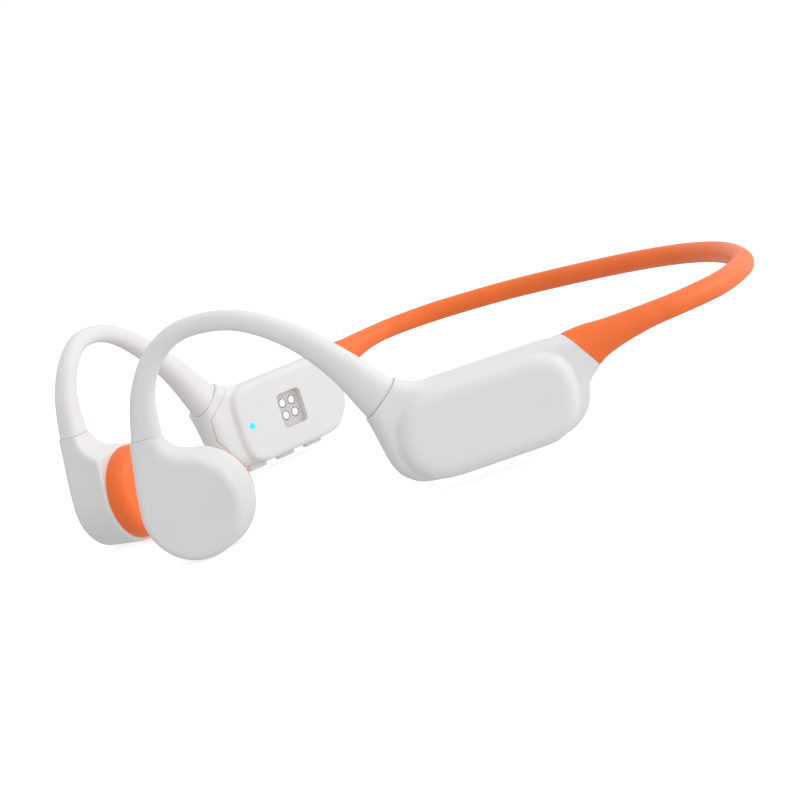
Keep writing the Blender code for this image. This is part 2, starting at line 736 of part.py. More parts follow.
def band_sleeves(parts):
    """The right arm's sleeve and the middle sleeve, domed where they meet."""
    arm, half, flex = band_routes()
    reach = flex[3] * math.sin(DOME[-1]) + GAP
    middle = list(reversed(shorten(list(reversed(half)), flex, reach)))
    side = hollow_route("right_neckband_sleeve",
                        rounded_ends(shorten(arm, flex, reach), False, True), None, parts,
                        "orange_silicone", first=seam_way(BAND_SEAM_TILT))
    hollow_route("neckband_sleeve", rounded_ends(mirror_route(middle), True, True), None,
                 parts, "orange_silicone")
    return side


def mirror_route(samples):
    """A route that ends on the mirror plane, carried on to its far end."""
    rest = [[s[0], -s[1], *s[2:]] for s in reversed(samples[:-1])]
    return list(samples) + rest


def main():
    """Builds every piece; the left side mirrors the right."""
    clear_scene()
    parts = collection("bone_conduction_headphones")
    cutters = collection("cutters")
    outer, inner = housing_shells(parts, cutters)
    hook = hollow_route("right_ear_hook", curve_through(HOOK), hook_across(), parts,
                        "white_overmould", Vector((0.0, 0.0, 1.0)), seam_way(HOOK_SEAM_TILT))
    right = [outer, inner, pod_cup(parts, cutters), hook, band_sleeves(parts)]
    left = [mirrored(piece, piece.name.replace("right_", "left_"), parts) for piece in right]
    cut_right_features(inner, cutters)

    hook_thread = curve_through(HOOK)[1:-1]
    arm_thread, middle_thread = band_threads()
    for side, pieces in (("right", right), ("left", left)):
        pieces += pod_pieces(side, parts)
        pieces += wire_and_lead(side, "hook", hook_thread, hook_across(), -CORE_OFFSET, parts)
        pieces += wire_and_lead(side, "neckband", arm_thread, None, CORE_OFFSET, parts)
    wire_and_lead("", "neckband", mirror_route(middle_thread), None, CORE_OFFSET, parts)

    right += charging_port(parts, cutters) + buttons(parts) + right_electronics(parts)
    left += left_electronics(parts, cutters)
    flex = Vector(BAND[FLEX_POINT][:3])
    carry(joint_empty("right_band_flex", flex, parts), right)
    carry(joint_empty("left_band_flex", ACROSS_MIRROR @ flex, parts), left)


main()
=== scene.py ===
"""Bone conduction headphones: the visible skins, materials, camera and light.

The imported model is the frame.  Lengths here are in millimetres in the model's own
axes: +X back to the neckband, +Y to the wearer's right, +Z up.  The right side is
modelled and mirrored to the left.
"""
import json
import math

import bmesh
import bpy
from mathutils import Matrix, Vector


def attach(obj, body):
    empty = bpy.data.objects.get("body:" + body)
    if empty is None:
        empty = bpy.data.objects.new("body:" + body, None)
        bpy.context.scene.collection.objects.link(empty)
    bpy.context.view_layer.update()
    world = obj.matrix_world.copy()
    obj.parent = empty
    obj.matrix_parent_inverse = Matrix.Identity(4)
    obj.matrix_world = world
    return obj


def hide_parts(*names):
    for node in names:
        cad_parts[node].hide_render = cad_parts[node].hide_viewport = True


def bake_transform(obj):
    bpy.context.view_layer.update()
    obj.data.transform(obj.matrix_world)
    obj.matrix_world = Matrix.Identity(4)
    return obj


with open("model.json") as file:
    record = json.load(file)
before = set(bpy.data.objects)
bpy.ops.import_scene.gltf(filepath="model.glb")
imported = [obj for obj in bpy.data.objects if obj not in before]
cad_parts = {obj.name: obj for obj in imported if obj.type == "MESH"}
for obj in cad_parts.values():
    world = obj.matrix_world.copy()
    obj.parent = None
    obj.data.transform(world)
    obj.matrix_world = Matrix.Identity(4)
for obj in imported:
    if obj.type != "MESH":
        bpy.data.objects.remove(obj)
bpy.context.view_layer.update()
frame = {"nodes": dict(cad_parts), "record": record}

MM = 0.001
SHIFT = Vector((-70.57, 0.0, 0.6))     # from this script's origin to the frame's
SEAM = 0.12                            # width of a seam line between two skins
TONGUE_INSET = 0.18                    # a seam's groove: how much smaller its floor is
TONGUE_LENGTH = 0.5
VOXEL = 0.25                           # of the forms that are melted together
SHARP_EDGE = math.radians(40.0)        # a sharper edge than this isn't shaded smooth
UP = Vector((0.0, 0.0, 1.0))

# Housing: a stadium-shaped pillow along an axis that splays outwards
HOUSING = Matrix.Translation((48.6, 52.6, 0.0)) @ Matrix.Rotation(math.radians(16.0), 4, "Z")
OUTER_BULGE = 5.9                      # depth of the outer face from the middle plane
INNER_BULGE = 4.6
WIDEST = 2.5                           # depth at which the rear end reaches furthest back
REAR_LEAN = 0.83                       # how fast it draws in from there
REAR_LEAN_LIMIT = 3.1
REAR_LEAN_FROM = 20.0                  # along the housing, where the lean sets in
REAR_LEAN_EASE = 8.0
PARTING = 1.2                          # depth of the plane that parts the two shells
OUTSIDE = -8.0                         # a depth clear of the inner face
HOOK_TILT = math.radians(51.0)
BAND_TILT = math.radians(-33.0)
HOOK_SEAM = (-9.65, 20.17)             # middle of the seam to the hook, along and up
BAND_SEAM = (30.46, 16.9)

# Pod: a round cup turned towards the cheekbone
POD = Matrix.Translation((6.0, 25.0, 10.25)) @ Matrix.Rotation(math.radians(37.0), 4, "Z")
POD_RADIUS = 10.95
POD_OUTER = 5.8
POD_INNER = -4.2
NECK_FROM = 7.6                        # height over the pod's middle where the neck starts
NECK_EASE = 4.0
PAD_RADIUS = 10.2
PAD_THICK = 3.7

# Port, light and buttons; places are along the housing and up
PORT_CENTRE = (10.9, 11.3)
PORT_SIZE = (7.4, 8.4)
PORT_CORNER = 1.3
PIN_CENTRE = (10.9, 11.45)
PIN_PITCH = (2.9, 3.05)
PIN_RADIUS = 1.0
PIN_GAP = 0.16
TRAY_FACE = -3.3
TRAY_THICK = 0.9
LED_AT = (-1.9, 11.0)
LED_RADIUS = 0.8
BUTTONS = {"power": -1.5, "volume_down": 7.35, "volume_up": 16.2}
BUTTON_LENGTH = 5.6
BUTTON_WIDTH = 1.9
BUTTON_ACROSS = -0.85
BUTTON_BOTTOM = 0.6
BUTTON_TOP = 3.2
BUTTON_EDGE = 0.45
BUTTON_GAP = 0.2

# Each control point: x, y, z, half width across, half height
HOOK = [
    (0.33, 24.73, 26.0, 2.65, 3.05),
    (1.9, 26.3, 34.1, 2.20, 2.38),
    (5.5, 28.7, 40.6, 2.05, 2.05),
    (11.2, 33.4, 44.2, 1.95, 1.95),
    (19.5, 39.9, 43.1, 2.00, 2.05),
    (27.5, 45.0, 37.2, 2.25, 2.40),
    (34.2, 47.9, 29.0, 2.75, 3.10),
    (39.3, 49.93, 20.3, 3.32, 4.48),
]
HOOK_SQUARE = 2.3                      # the section's power, and how much more at the pod
HOOK_SQUARER = 0.5
HOOK_SQUARE_SPANS = 2.5
BAND = [
    (78.0, 61.1, 16.9, 3.15, 4.95),
    (82.6, 63.0, 17.8, 2.75, 3.60),
    (87.0, 64.8, 18.5, 2.45, 2.90),
    (92.5, 66.5, 19.1, 2.30, 2.45),
    (99.0, 67.3, 19.4, 2.25, 2.35),
    (109.5, 64.9, 19.6, 2.25, 2.40),
    (120.5, 57.0, 19.7, 2.25, 2.40),
    (129.6, 46.0, 19.7, 2.25, 2.40),
    (140.1, 22.8, 19.7, 2.25, 2.40),
    (143.7, 0.0, 19.7, 2.25, 2.40),
]
RINGS_PER_SPAN = 20
SIDES = 56
CORE_SIDES = 12
CORE_START = 6                         # the wire and lead start this many rings inside
WIRE_RADIUS = 0.45
LEAD_RADIUS = 0.40
CORE_OFFSET = 0.55                     # of the wire to one side and the lead to the other

# Camera and light, in metres
CAMERA_AT = (-0.19677, -0.435, 0.0761)
CAMERA_AHEAD = Vector((0.399, 0.907, -0.134))
CAMERA_UP = Vector((0.329, -0.005, 0.944))
CAMERA_LENS = 99.0
BRIGHT_WAY = Vector((0.66, -0.45, 0.60))   # the bright side of the studio
SKY_DARK = 0.48
SKY_BRIGHT = 1.16
KEY_LAMP_AT = (0.55, -0.28, 0.22)
KEY_LAMP_SIZE = 0.35
KEY_LAMP_POWER = 0.8
LIT_PLACE = Vector((0.0, 0.0, 0.02))       # what the lamp is aimed at


# ---------------------------------------------------------------- materials

WHITE = (0.80, 0.80, 0.80)
ORANGE = (1.0, 0.175, 0.022)
NOISE_LOW, NOISE_HIGH = 0.35, 0.65     # noise seldom leaves this range
MOTTLE_SCALE = 90.0                    # per metre, as the two below
SHEEN_SCALE = 260.0
LIGHT_SCALE = 500.0
GRAIN_DEPTH = 0.00001                  # metres


def node_material(name):
    """A new material with its node tree and its Principled shader."""
    made = bpy.data.materials.new(name)
    made.use_nodes = True
    return made, made.node_tree, made.node_tree.nodes["Principled BSDF"]


def noise(tree, scale, detail=3.0):
    """Noise in the object's own space, so that it stays put on the piece."""
    space = tree.nodes.new("ShaderNodeTexCoord")
    texture = tree.nodes.new("ShaderNodeTexNoise")
    texture.inputs["Scale"].default_value = scale
    texture.inputs["Detail"].default_value = detail
    tree.links.new(space.outputs["Object"], texture.inputs["Vector"])
    return texture.outputs["Fac"]


def ramp(tree, source, low, high):
    """Turns noise into a range between two colours."""
    node = tree.nodes.new("ShaderNodeValToRGB")
    node.color_ramp.elements[0].position = NOISE_LOW
    node.color_ramp.elements[0].color = (*low, 1.0)
    node.color_ramp.elements[1].position = NOISE_HIGH
    node.color_ramp.elements[1].color = (*high, 1.0)
    tree.links.new(source, node.inputs["Fac"])
    return node.outputs["Color"]


def rough_range(tree, shader, source, low, high):
    """Roughness that wanders between two values."""
    node = tree.nodes.new("ShaderNodeMapRange")
    node.inputs["From Min"].default_value = NOISE_LOW
    node.inputs["From Max"].default_value = NOISE_HIGH
    node.inputs["To Min"].default_value = low
    node.inputs["To Max"].default_value = high
    tree.links.new(source, node.inputs["Value"])
    tree.links.new(node.outputs["Result"], shader.inputs["Roughness"])


def bump(tree, shader, source, strength, distance):
    """Fine relief from a factor."""
    node = tree.nodes.new("ShaderNodeBump")
    node.inputs["Strength"].default_value = strength
    node.inputs["Distance"].default_value = distance
    tree.links.new(source, node.inputs["Height"])
    tree.links.new(node.outputs["Normal"], shader.inputs["Normal"])


def moulded(name, colour, roughness, grain_mm=0.18, relief=0.25, variation=0.02, metallic=0.0):
    """Moulded plastic or silicone: faint mottling and a fine spark-eroded grain."""
    made, tree, shader = node_material(name)
    shader.inputs["Metallic"].default_value = metallic
    low = tuple(c * (1.0 - variation) for c in colour)
    mottle = noise(tree, MOTTLE_SCALE)
    tree.links.new(ramp(tree, mottle, low, colour), shader.inputs["Base Color"])
    rough_range(tree, shader, noise(tree, SHEEN_SCALE), roughness - 0.04, roughness + 0.04)
    bump(tree, shader, noise(tree, 1000.0 / grain_mm, 2.0), relief, GRAIN_DEPTH)
    return made


MATERIALS = {
    "white_shell": moulded("satin_white_shell", WHITE, 0.40),
    "white_overmould": moulded("soft_touch_white", WHITE, 0.46, grain_mm=0.14),
    "white_button": moulded("white_key", (0.76, 0.755, 0.75), 0.42),
    "orange_silicone": moulded("orange_silicone", ORANGE, 0.44, grain_mm=0.14, variation=0.04),
    "port_plastic": moulded("port_plastic", (0.62, 0.615, 0.60), 0.5, relief=0.5),
    "contact_metal": moulded("contact_metal", (0.93, 0.92, 0.90), 0.28, metallic=1.0),
    "spring_metal": moulded("spring_metal", (0.56, 0.56, 0.58), 0.32, metallic=1.0),
    "lead_jacket": moulded("lead_jacket", (0.03, 0.03, 0.035), 0.55),
    "circuit_board": moulded("circuit_board", (0.02, 0.16, 0.07), 0.45, variation=0.2),
    "chip": moulded("chip", (0.02, 0.02, 0.02), 0.4),
    "cell_foil": moulded("cell_foil", (0.60, 0.61, 0.63), 0.32, metallic=1.0, relief=0.6),
    "magnet_nickel": moulded("magnet_nickel", (0.66, 0.65, 0.62), 0.22, metallic=1.0),
    "coil_copper": moulded("coil_copper", (0.75, 0.30, 0.13), 0.35, metallic=1.0),
}


def light_material():
    """The status light's guide: lit cyan, faintly mottled."""
    made, tree, shader = node_material("cyan_light_guide")
    glow = ramp(tree, noise(tree, LIGHT_SCALE), (0.0, 0.93, 0.90), (0.02, 1.0, 0.98))
    tree.links.new(glow, shader.inputs["Emission Color"])
    tree.links.new(glow, shader.inputs["Base Color"])
    shader.inputs["Emission Strength"].default_value = 0.75
    shader.inputs["Roughness"].default_value = 0.25
    return made


MATERIALS["light_pipe"] = light_material()


# ---------------------------------------------------------------- mesh making

def shade(obj):
    """Smooth shading, but for the sharp edges."""
    obj.data.shade_smooth()
    obj.data.set_sharp_from_angle(angle=SHARP_EDGE)


def add_object(name, mesh_data, slot=None):
    """Puts a bmesh into the scene as a smooth object, both in millimetres."""
    bmesh.ops.recalc_face_normals(mesh_data, faces=mesh_data.faces)
    if mesh_data.calc_volume(signed=True) < 0.0:
        bmesh.ops.reverse_faces(mesh_data, faces=mesh_data.faces)
    mesh = bpy.data.meshes.new(name)
    mesh_data.to_mesh(mesh)
    mesh_data.free()
    obj = bpy.data.objects.new(name, mesh)
    bpy.context.scene.collection.objects.link(obj)
    if slot:
        mesh.materials.append(MATERIALS[slot])
        obj["slot"] = slot
    shade(obj)
    return obj


def bake(obj):
    """Applies the object's modifiers to its mesh."""
    evaluated = obj.evaluated_get(bpy.context.evaluated_depsgraph_get())
    obj.data = bpy.data.meshes.new_from_object(evaluated)
    obj.modifiers.clear()
    return obj


def boolean(obj, other, operation="DIFFERENCE"):
    """Cuts or joins obj with other, which then leaves the scene."""
    step = obj.modifiers.new(operation.lower(), "BOOLEAN")
    step.operation = operation
    step.object = other
    bpy.context.view_layer.update()
    bake(obj)
    bpy.data.objects.remove(other, do_unlink=True)


def melt(name, forms, slot, passes):
    """Joins overlapping forms into one skin and softens the edges where they meet."""
    mesh_data = bmesh.new()
    for form in forms:
        mesh_data.from_mesh(form.data)
        bpy.data.objects.remove(form, do_unlink=True)
    obj = add_object(name, mesh_data, slot)
    skin = obj.modifiers.new("skin", "REMESH")
    skin.mode = "VOXEL"
    skin.voxel_size = VOXEL
    skin.use_smooth_shade = True
    soften = obj.modifiers.new("soften", "SMOOTH")
    soften.factor = 0.5
    soften.iterations = passes
    bpy.context.view_layer.update()
    return bake(obj)


def duplicate(obj, name):
    """A copy with a mesh of its own."""
    copy = bpy.data.objects.new(name, obj.data.copy())
    bpy.context.scene.collection.objects.link(copy)
    copy["slot"] = obj["slot"]
    return copy


def mirrored(obj, name):
    """The left-hand copy of a right-hand piece, still in millimetres."""
    copy = duplicate(obj, name)
    copy.data.transform(Matrix.Scale(-1.0, 4, (0.0, 1.0, 0.0)))
    copy.data.flip_normals()
    return copy


def place(obj, body, *nodes):
    """Brings a finished piece into the frame, riding on its body for its CAD nodes."""
    obj.data.transform(Matrix.Scale(MM, 4) @ Matrix.Translation(SHIFT))
    obj.data.materials.clear()
    obj.data.materials.append(MATERIALS[obj["slot"]])
    if body:
        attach(obj, body)
    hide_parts(*nodes)


def curve_through(points, per_span=RINGS_PER_SPAN):
    """Samples a Catmull-Rom curve through control points of any dimension."""
    head = [2 * a - b for a, b in zip(points[0], points[1])]
    tail = [2 * a - b for a, b in zip(points[-1], points[-2])]
    padded = [head] + [list(p) for p in points] + [tail]
    samples = []
    for i in range(1, len(padded) - 2):
        near = padded[i - 1:i + 3]
        for step in range(per_span):
            t = step / per_span
            weights = (
                (-t + 2 * t * t - t ** 3) / 2,
                (2 - 5 * t * t + 3 * t ** 3) / 2,
                (t + 4 * t * t - 3 * t ** 3) / 2,
                (t ** 3 - t * t) / 2,
            )
            samples.append([sum(w * p[k] for w, p in zip(weights, near))
                            for k in range(len(points[0]))])
    samples.append(list(points[-1]))
    return samples


def seam_way(tilt):
    """The direction square to a housing seam that leans by tilt."""
    return HOUSING.to_3x3() @ Vector((math.cos(tilt), 0.0, -math.sin(tilt)))


def tangents(samples, first, final, ease=14):
    """Direction of travel at each sample, easing to the seams' own at both ends."""
    places = [Vector(s[:3]) for s in samples]
    last = len(places) - 1
    ways = []
    for i in range(last + 1):
        way = (places[min(i + 1, last)] - places[max(i - 1, 0)]).normalized()
        if i < ease:
            way = first.lerp(way, i / ease).normalized()
        if last - i < ease:
            way = final.lerp(way, (last - i) / ease).normalized()
        ways.append(way)
    return ways


def section(sample, along, across, offset=0.0, radius=None, sides=SIDES, power=2.0):
    """A rounded ring across the route; a power above 2 squares it up."""
    first = (across - across.dot(along) * along).normalized()
    second = along.cross(first)
    half_across = radius or sample[3]
    half_up = radius or sample[4]
    centre = Vector(sample[:3]) + first * offset
    ring = []
    for i in range(sides):
        angle = 2 * math.pi * (i + 0.5) / sides
        c, s = math.cos(angle), math.sin(angle)
        reach = (abs(c) ** power + abs(s) ** power) ** (-1 / power)
        ring.append(centre + first * half_across * reach * c + second * half_up * reach * s)
    return ring


def loft(name, rings, slot=None):
    """A closed skin through rings of equal count."""
    mesh_data = bmesh.new()
    levels = [[mesh_data.verts.new(p) for p in ring] for ring in rings]
    for low, high in zip(levels, levels[1:]):
        for i in range(len(low)):
            j = (i + 1) % len(low)
            mesh_data.faces.new((low[i], low[j], high[j], high[i]))
    mesh_data.faces.new(list(reversed(levels[0])))
    mesh_data.faces.new(levels[-1])
    return add_object(name, mesh_data, slot)


def turned(name, profile, slot, matrix=POD, sides=96):
    """A solid of revolution about an axis that runs across: (radius, depth) pairs."""
    rings = []
    for radius, depth in profile:
        circle = circle_outline((0.0, 0.0), radius, sides)
        rings.append([matrix @ Vector((along, depth, up)) for along, up in circle])
    return loft(name, rings, slot)


def rounded_profile(radius, low, high, round_low, round_high, steps=8):
    """The side of a disc from low to high, with its two rims rounded."""
    levels = rounded_levels(low, high, round_low, round_high, steps=steps)
    return [(radius - take, depth) for take, depth in levels]


# ---------------------------------------------------------------- ear hook

def with_tongues(rings, ways, first=True, last=True):
    """Adds a slightly smaller tongue past a seam, so that the seam is a shallow groove."""
    def tongue(ring, way):
        centre = sum(ring, Vector()) / len(ring)
        small = [p + (centre - p).normalized() * TONGUE_INSET for p in ring]
        return [small, [p + way * TONGUE_LENGTH for p in small]]

    out = list(rings)
    if first:
        out = tongue(rings[0], -ways[0])[::-1] + out
    if last:
        out += tongue(rings[-1], ways[-1])
    return out


def ear_hook():
    """The silicone-covered hook from the pod's neck to the housing's neck."""
    samples = curve_through(HOOK)
    start, stop = Vector(HOOK[0][:3]), Vector(HOOK[-1][:3])
    across = Vector((-(stop - start).y, (stop - start).x, 0.0)).normalized()
    ways = tangents(samples, UP, seam_way(HOOK_TILT))
    rings = []
    for i, (sample, way) in enumerate(zip(samples, ways)):
        near_pod = max(1.0 - i / (HOOK_SQUARE_SPANS * RINGS_PER_SPAN), 0.0)
        power = HOOK_SQUARE + HOOK_SQUARER * near_pod
        rings.append(section(sample, way, across, power=power))
    return loft("right_hook_skin", with_tongues(rings, ways), "white_overmould")


# ---------------------------------------------------------------- outlines

def inset(outline, take):
    """A closed outline moved inwards by take, square to its own direction."""
    if not take:
        return outline
    out = []
    for i, here in enumerate(outline):
        before, after = outline[i - 1], outline[(i + 1) % len(outline)]
        way = Vector((after[0] - before[0], after[1] - before[1])).normalized()
        out.append((here[0] - way.y * take, here[1] + way.x * take))
    return out


def slab(name, outline, levels, matrix=HOUSING, lean=0.0):
    """A body over an outline of (along, up) pairs; each level is (inset, depth)."""
    rings = []
    for take, depth in levels:
        back = min(max(lean * (WIDEST - depth), 0.0), REAR_LEAN_LIMIT)
        ring = []
        for along, up in inset(outline, take):
            share = min(max((along - REAR_LEAN_FROM) / REAR_LEAN_EASE, 0.0), 1.0)
            ring.append(matrix @ Vector((along - back * share, depth, up)))
        rings.append(ring)
    return loft(name, rings)


def rounded_levels(low, high, round_low, round_high, draft=0.0, steps=8):
    """Levels from low to high depth, with rims rounded by (inset, depth) amounts."""
    levels = []
    for i in range(steps + 1):
        a = math.pi / 2 * i / steps
        levels.append((round_low[0] * (1 - math.sin(a)), low + round_low[1] * (1 - math.cos(a))))
    for i in range(steps + 1):
        a = math.pi / 2 * i / steps
        levels.append((draft + round_high[0] * (1 - math.cos(a)),
                       high - round_high[1] * (1 - math.sin(a))))
    return levels


def smooth_outline(points, per_span=8):
    """A closed outline through its points, anticlockwise."""
    return [tuple(p) for p in curve_through(points + points[:1], per_span)[:-1]]


def rounded_outline(centre, size, corner, steps=8):
    """A rectangle with round corners, as (along, up) pairs."""
    out = []
    for sx, sz, start in ((1, -1, -90), (1, 1, 0), (-1, 1, 90), (-1, -1, 180)):
        for i in range(steps + 1):
            angle = math.radians(start + 90 * i / steps)
            out.append((centre[0] + sx * (size[0] / 2 - corner) + corner * math.cos(angle),
                        centre[1] + sz * (size[1] / 2 - corner) + corner * math.sin(angle)))
    return out


def circle_outline(centre, radius, steps=40):
    """A circle as (along, up) pairs."""
    return [(centre[0] + radius * math.cos(2 * math.pi * i / steps),
             centre[1] + radius * math.sin(2 * math.pi * i / steps)) for i in range(steps)]


# ---------------------------------------------------------------- pod

def teardrop():
    """The pod's outline: a disc whose neck leaves it tangentially in front."""
    arc = []
    start, stop, steps = math.radians(-188.0), math.radians(72.0), 60
    for i in range(steps + 1):
        angle = start + (stop - start) * i / steps
        arc.append((POD_RADIUS * math.cos(angle), POD_RADIUS * math.sin(angle)))
    rise = [(2.0, 10.85), (0.6, 11.5), (-0.7, 12.6), (-1.5, 14.2), (-1.84, 15.9)]
    fall = [(-8.5, 15.9), (-9.15, 12.4), (-9.8, 8.6), (-10.4, 5.0), arc[0]]
    top = [(-1.84, 24.0), (-8.5, 24.0)]
    neck = curve_through([arc[-1]] + rise, 5)[1:] + top + curve_through(fall, 5)[:-1]
    return arc + [tuple(p) for p in neck]


def round_neck(cup, passes):
    """Rounds the neck's edges, and less and less those of the cup below."""
    group = cup.vertex_groups.new(name="neck")
    low = POD.translation.z + NECK_FROM
    for vertex in cup.data.vertices:
        share = min(max((vertex.co.z - low) / NECK_EASE, 0.0), 1.0)
        if share:
            group.add([vertex.index], share, "REPLACE")
    soften = cup.modifiers.new("soften", "SMOOTH")
    soften.factor = 0.5
    soften.iterations = passes
    soften.vertex_group = "neck"
    bpy.context.view_layer.update()
    bake(cup)


def cut_above(obj, height, size=60.0):
    """Ends a piece at a level plane."""
    block = bmesh.new()
    bmesh.ops.create_cube(block, size=size)
    middle = Vector((*POD.translation.xy, height + size / 2))
    bmesh.ops.translate(block, verts=block.verts, vec=middle)
    boolean(obj, add_object("above", block))


def pod_cup():
    """The round cup and the neck that carries it, melted into one skin."""
    levels = rounded_levels(POD_INNER, POD_OUTER, (0.3, 0.3), (1.5, 1.5), draft=0.45)
    cup = slab("cup", teardrop(), levels, POD)
    behind_neck = [(-12.0, 10.0), (-9.0, 10.0), (-4.2, 10.3), (-2.4, 10.9), (-0.9, 12.1),
                   (0.1, 13.8), (0.5, 15.9), (0.5, 25.0), (-12.0, 25.0)]
    wedge = [[POD @ Vector((end, depth, up)) for depth, up in behind_neck] for end in (-15.0, 8.0)]
    boolean(cup, loft("wedge", wedge))
    cup = melt("right_pod_skin", [cup], "white_overmould", passes=10)
    round_neck(cup, 90)
    cut_above(cup, HOOK[0][2] - SEAM)
    shade(cup)
    return cup


def ear_pad():
    """The soft pad on the pod's inner face."""
    outer = POD_INNER + 0.25
    inner = POD_INNER - 0.3 - PAD_THICK
    profile = rounded_profile(PAD_RADIUS, inner, outer, (2.6, 2.2), (0.25, 0.2))
    return turned("right_pad_skin", [(4.0, inner - 0.12)] + profile, "orange_silicone")


# ---------------------------------------------------------------- housing

def housing_outline():
    """The housing's silhouette from outside, with both necks, anticlockwise."""
    return smooth_outline([
        (0.7, 1.55), (9.0, 1.55), (17.4, 1.55), (21.3, 1.85), (23.9, 2.8), (26.1, 4.5),
        (27.9, 6.9), (29.7, 9.3), (31.7, 11.3), (33.6, 12.7), (35.9, 14.6), (33.6, 19.0),
        (30.6, 20.95), (27.8, 20.85), (21.0, 20.8), (14.0, 20.8), (7.0, 20.85), (1.2, 20.95),
        (-1.4, 21.25), (-3.4, 21.9), (-5.2, 22.9), (-6.8, 24.1), (-9.0, 26.4), (-13.0, 23.5),
        (-14.6, 19.6), (-13.3, 16.6), (-12.5, 12.6), (-11.8, 8.7), (-10.7, 5.6), (-8.9, 3.6),
        (-6.6, 2.3), (-3.2, 1.7),
    ])


def island_outline():
    """The raised face on the outer shell: a rounded oblong."""
    return smooth_outline([
        (1.0, 1.6), (10.0, 1.6), (18.2, 1.6), (21.3, 2.1), (23.9, 3.5), (25.8, 5.9),
        (26.8, 8.8), (27.1, 12.0), (26.5, 15.3), (24.6, 17.9), (21.4, 19.2), (17.0, 19.4),
        (9.0, 19.4), (1.5, 19.4), (-2.3, 19.1), (-5.6, 17.8), (-8.2, 15.3), (-9.4, 12.2),
        (-9.5, 9.0), (-8.4, 5.9), (-6.2, 3.4), (-3.0, 2.0),
    ])


def inner_outline():
    """The flat inner face, which starts behind the front neck."""
    return smooth_outline([
        (0.0, 1.7), (9.0, 1.7), (18.0, 1.7), (22.4, 1.95), (25.8, 2.7), (28.5, 4.3),
        (30.3, 6.7), (31.3, 10.0), (31.7, 14.2), (31.5, 18.0), (29.8, 20.3), (25.8, 20.8),
        (20.0, 20.8), (13.0, 20.8), (6.0, 20.8), (-0.6, 20.7), (-4.0, 19.4), (-5.3, 16.4),
        (-5.4, 12.0), (-5.3, 7.0), (-3.8, 3.3),
    ])


def housing():
    """The right housing's whole form, before it is parted into two shells."""
    body = slab("body", housing_outline(), rounded_levels(-3.5, 3.9, (3.0, 3.3), (2.6, 2.9)),
                lean=REAR_LEAN)
    island = slab("island", island_outline(), rounded_levels(-2.0, OUTER_BULGE, (1.0, 1.0),
                                                             (3.0, 2.2)), lean=REAR_LEAN)
    inner = slab("inner", inner_outline(), rounded_levels(-INNER_BULGE, 2.0, (1.2, 1.1),
                                                          (1.0, 1.0)), lean=REAR_LEAN)
    return melt("housing", [body, island, inner], "white_shell", passes=22)


# ---------------------------------------------------------------- assembly

def pill(name, centre, grow, bottom, top, edge, slot=None):
    """An upright pill-shaped post, with a rounded lower edge."""
    length, width = BUTTON_LENGTH + 2 * grow, BUTTON_WIDTH + 2 * grow
    half = (length - width) / 2
    levels = [(bottom, 0.0)]
    if edge:
        turns = [math.pi / 2 * i / 6 for i in range(7)]
        levels = [(bottom + edge * (1 - math.cos(a)), edge * (1 - math.sin(a))) for a in turns]
    levels.append((top, 0.0))
    rings = []
    for height, take in levels:
        ring = []
        for middle, start in ((half, -math.pi / 2), (-half, math.pi / 2)):
            for i in range(17):
                angle = start + math.pi * i / 16
                ring.append(HOUSING @ Vector((
                    centre + middle + (width / 2 - take) * math.cos(angle),
                    BUTTON_ACROSS + (width / 2 - take) * math.sin(angle), height)))
        rings.append(ring)
    return loft(name, rings, slot)


def cover_outline(grow=0.0):
    """The inner shell's outline: a chevron in front, open below and to the rear."""
    return [(-8.0 - grow, 4.8), (-4.0 - grow, -3.0), (60.0, -3.0), (60.0, 26.0),
            (1.6 - grow, 26.0), (-11.4 - grow, 15.9), (-11.2 - grow, 10.7)]


def trim_to_seams(form):
    """Ends the housing's necks at their seams."""
    for (along, up), tilt, sign in ((HOOK_SEAM, HOOK_TILT, -1.0), (BAND_SEAM, BAND_TILT, 1.0)):
        way = seam_way(tilt) * sign
        middle = HOUSING @ Vector((along, 0.0, up))
        mesh_data = bmesh.new()
        mesh_data.from_mesh(form.data)
        bmesh.ops.triangulate(mesh_data, faces=mesh_data.faces)
        geometry = mesh_data.verts[:] + mesh_data.edges[:] + mesh_data.faces[:]
        cut = bmesh.ops.bisect_plane(mesh_data, geom=geometry, plane_co=middle,
                                     plane_no=way, clear_outer=True)
        edges = [e for e in cut["geom_cut"] if isinstance(e, bmesh.types.BMEdge)]
        bmesh.ops.edgeloop_fill(mesh_data, edges=edges)
        mesh_data.to_mesh(form.data)
        mesh_data.free()


def shells():
    """The two shells, parted along the chevron and the parting plane."""
    form = housing()
    trim_to_seams(form)
    inner = duplicate(form, "right_inner_skin")
    boolean(inner, slab("cover", cover_outline(), [(0.0, -30.0), (0.0, PARTING)]), "INTERSECT")
    outer = form
    outer.name = "right_outer_skin"
    boolean(outer, slab("room", cover_outline(SEAM), [(0.0, -31.0), (0.0, PARTING + SEAM)]))
    shade(inner)
    shade(outer)
    return outer, inner


def cut_right_features(inner):
    """The port's recess, the light's hole and the button slots."""
    boolean(inner, slab("port", rounded_outline(PORT_CENTRE, PORT_SIZE, PORT_CORNER),
                        [(0.0, OUTSIDE), (0.0, TRAY_FACE + 1.0)]))
    boolean(inner, slab("light", circle_outline(LED_AT, LED_RADIUS + 0.05),
                        [(0.0, OUTSIDE), (0.0, -2.0)]))
    for centre in BUTTONS.values():
        boolean(inner, pill("slot", centre, BUTTON_GAP, -1.0, BUTTON_TOP + 1.0, 0.0))
    shade(inner)


def band_route():
    """The control curve's samples, from the housing's seam to the middle."""
    beyond = (BAND[-2][0], -BAND[-2][1], *BAND[-2][2:])
    return curve_through(BAND + [beyond])[:-RINGS_PER_SPAN]


